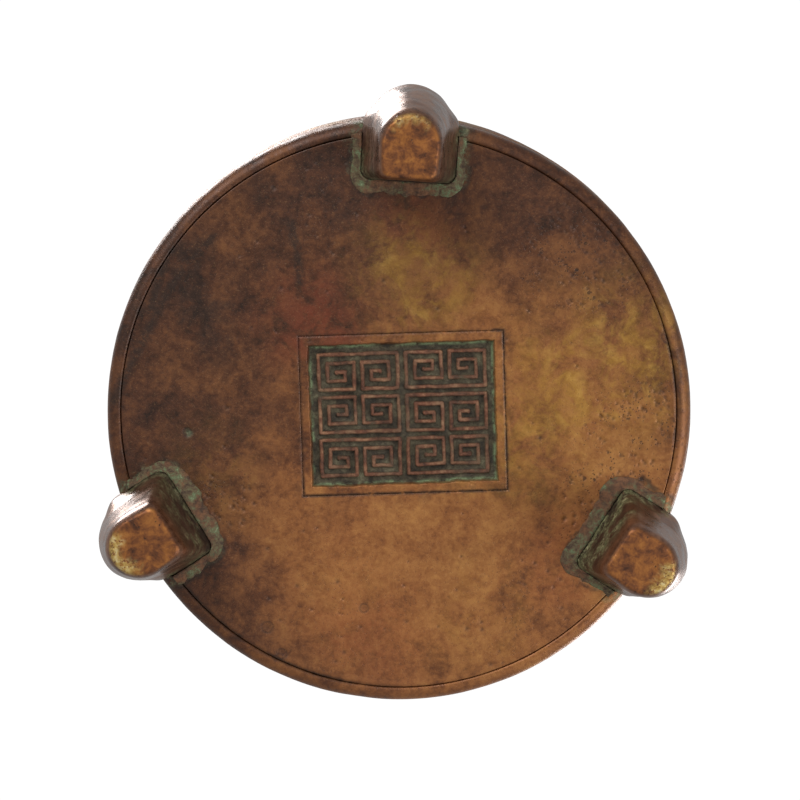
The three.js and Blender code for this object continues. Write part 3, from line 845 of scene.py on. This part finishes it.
def foot_bead(name, seed):
    """the rough green solder run round a foot's root under the base"""
    f = FEET[name]
    n = 420
    core = foot_ring(f, 21.6, 0.0, n)
    c = core.mean(0)
    d = core[:, :2] - c[:2]
    t = np.roll(core[:, :2], -1, 0) - np.roll(core[:, :2], 1, 0)
    nrm = np.column_stack([t[:, 1], -t[:, 0]])
    nrm /= np.hypot(nrm[:, 0], nrm[:, 1])[:, None]
    nrm *= np.sign((nrm * d).sum(1))[:, None]
    # the inner side, towards the bowl's middle, took more solder
    ca, sa = math.cos(math.radians(f["angle"])), math.sin(math.radians(f["angle"]))
    inward = np.clip(-(nrm[:, 0] * ca + nrm[:, 1] * sa), 0, 1)
    wv = 0.75 + 0.5 * inward + 0.55 * fbm(core * [1, 1, 0], 0.3, 4, seed)
    prof = [(0.2, 20.6), (0.75, 21.05), (1.1, 21.35), (1.45, 21.6), (1.8, 21.8), (2.2, 21.95), (2.7, 22.06), (2.7, 22.6), (0.2, 22.6)]
    rows = []
    for k, (g, z) in enumerate(prof):
        p = core[:, :2] + nrm * (g * np.clip(wv, 0.4, 1.6))[:, None]
        rr = np.hypot(p[:, 0], p[:, 1])
        p = p * (np.minimum(rr, 62.4) / rr)[:, None]
        zz = np.full(n, z)
        if 0 < k < 7:
            lump = fbm(np.column_stack([p, np.full(n, float(k))]), 0.9, 4, seed + 3)
            zz = np.minimum(zz - 0.28 * lump, 22.3)
        rows.append(np.column_stack([p, zz]))
    return make(name + "_bead", np.vstack(rows), grid_faces(len(prof), n, True, True), material=MAT_SOLDER)


ob = wall()
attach(ob, "root")
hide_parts("wall_shell")
ob = base()
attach(ob, "root")
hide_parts("base_plate")
ob = tile()
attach(ob, "root")
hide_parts("inset_panel")
for k, nm in enumerate(FEET):
    ob = foot(nm, 20 + 7 * k)
    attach(ob, "root")
    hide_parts(nm)
    ob = foot_bead(nm, 60 + 7 * k)
    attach(ob, "root")
    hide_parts(nm + "_solder")
for nm in ("base_seam_solder", "panel_solder"):
    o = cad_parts[nm]
    o.data.materials.clear()
    o.data.materials.append(MAT_SOLDER)


# ---------------------------------------------------------------- floor, light
def stage():
    me = bpy.data.meshes.new("floor")
    w = 3.0
    me.from_pydata([(-w, -w, -0.0003), (w, -w, -0.0003), (w, w, -0.0003), (-w, w, -0.0003)], [], [(0, 1, 2, 3)])
    ob = bpy.data.objects.new("floor", me)
    bpy.context.scene.collection.objects.link(ob)
    mat = bpy.data.materials.new("floor_pale")
    mat.use_nodes = True
    nt = mat.node_tree
    b = nt.nodes["Principled BSDF"]
    b.inputs["Base Color"].default_value = (0.86, 0.86, 0.85, 1)
    b.inputs["Roughness"].default_value = 0.8
    tr = nt.nodes.new("ShaderNodeBsdfTransparent")
    geo = nt.nodes.new("ShaderNodeNewGeometry")
    mx = nt.nodes.new("ShaderNodeMixShader")
    nt.links.new(geo.outputs["Backfacing"], mx.inputs[0])
    nt.links.new(b.outputs[0], mx.inputs[1])
    nt.links.new(tr.outputs[0], mx.inputs[2])
    nt.links.new(mx.outputs[0], nt.nodes["Material Output"].inputs["Surface"])
    me.materials.append(mat)
    ob.visible_shadow = False
    ob.visible_diffuse = False
    ob.visible_glossy = False


def area(name, loc, target, size, power):
    li = bpy.data.lights.new(name, "AREA")
    li.shape = "DISK"
    li.size = size
    li.energy = power
    ob = bpy.data.objects.new(name, li)
    ob.location = loc
    ob.rotation_euler = (Vector(target) - Vector(loc)).to_track_quat("-Z", "Y").to_euler()
    ob.visible_camera = False
    bpy.context.scene.collection.objects.link(ob)


stage()
area("soft_under", (-0.5, -0.8, -0.75), (0, 0, 0.02), 0.6, 11)
area("soft_under_right", (0.85, 0.35, -0.6), (0, 0, 0.02), 0.6, 8)
area("soft_over", (-0.7, -0.9, 1.3), (0, 0, 0.05), 0.9, 30)
area("soft_over_back", (0.9, 0.8, 1.1), (0, 0, 0.05), 0.8, 16)

world = bpy.data.worlds.new("white")
world.use_nodes = True
wt = world.node_tree
wt.nodes["Background"].inputs[0].default_value = (1, 1, 1, 1)
wt.nodes["Background"].inputs[1].default_value = 0.62
seen = wt.nodes.new("ShaderNodeBackground")
seen.inputs[1].default_value = 1.05
lp = wt.nodes.new("ShaderNodeLightPath")
mx = wt.nodes.new("ShaderNodeMixShader")
wt.links.new(lp.outputs["Is Camera Ray"], mx.inputs[0])
wt.links.new(wt.nodes["Background"].outputs[0], mx.inputs[1])
wt.links.new(seen.outputs[0], mx.inputs[2])
seen.inputs[0].default_value = (1, 1, 1, 1)
wt.links.new(mx.outputs[0], wt.nodes["World Output"].inputs["Surface"])
bpy.context.scene.world = world
bpy.context.scene.view_settings.view_transform = "Standard"
